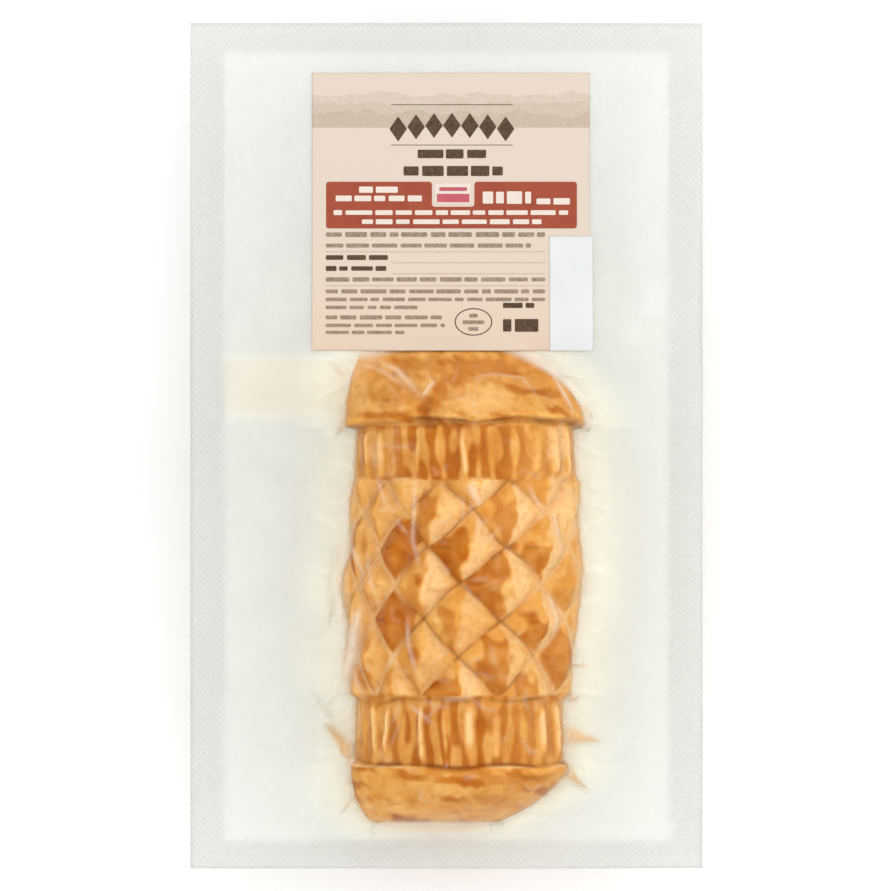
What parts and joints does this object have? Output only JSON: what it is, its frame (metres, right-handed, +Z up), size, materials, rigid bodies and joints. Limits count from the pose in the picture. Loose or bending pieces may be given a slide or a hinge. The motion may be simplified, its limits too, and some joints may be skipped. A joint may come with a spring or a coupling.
{
  "type": "smoked cheese roll in a vacuum pouch",
  "caption": "Smoked, mould-pressed cheese roll with fluted bands and raised diamonds, in a flat clear vacuum pouch with a paper label.",
  "frame": {"origin": "on the table under the middle of the pouch's rectangle", "axes": "+X across the pouch, +Y up the pouch to its label end, +Z up out of the label"},
  "size_m": [0.123, 0.203, 0.0571],
  "materials": {
    "smoked_cheese": "smoked golden-brown cheese with an oily sheen, under clinging film",
    "clear_film": "clear, glossy, faintly milky multilayer film with a knurled weld border",
    "label_paper": null,
    "sticker_paper": "plain white paper"
  },
  "bodies": {
    "root": {"vacuum_pouch": "smoked_cheese", "paper_label": "label_paper", "blank_sticker": "sticker_paper"}
  },
  "joints": []
}
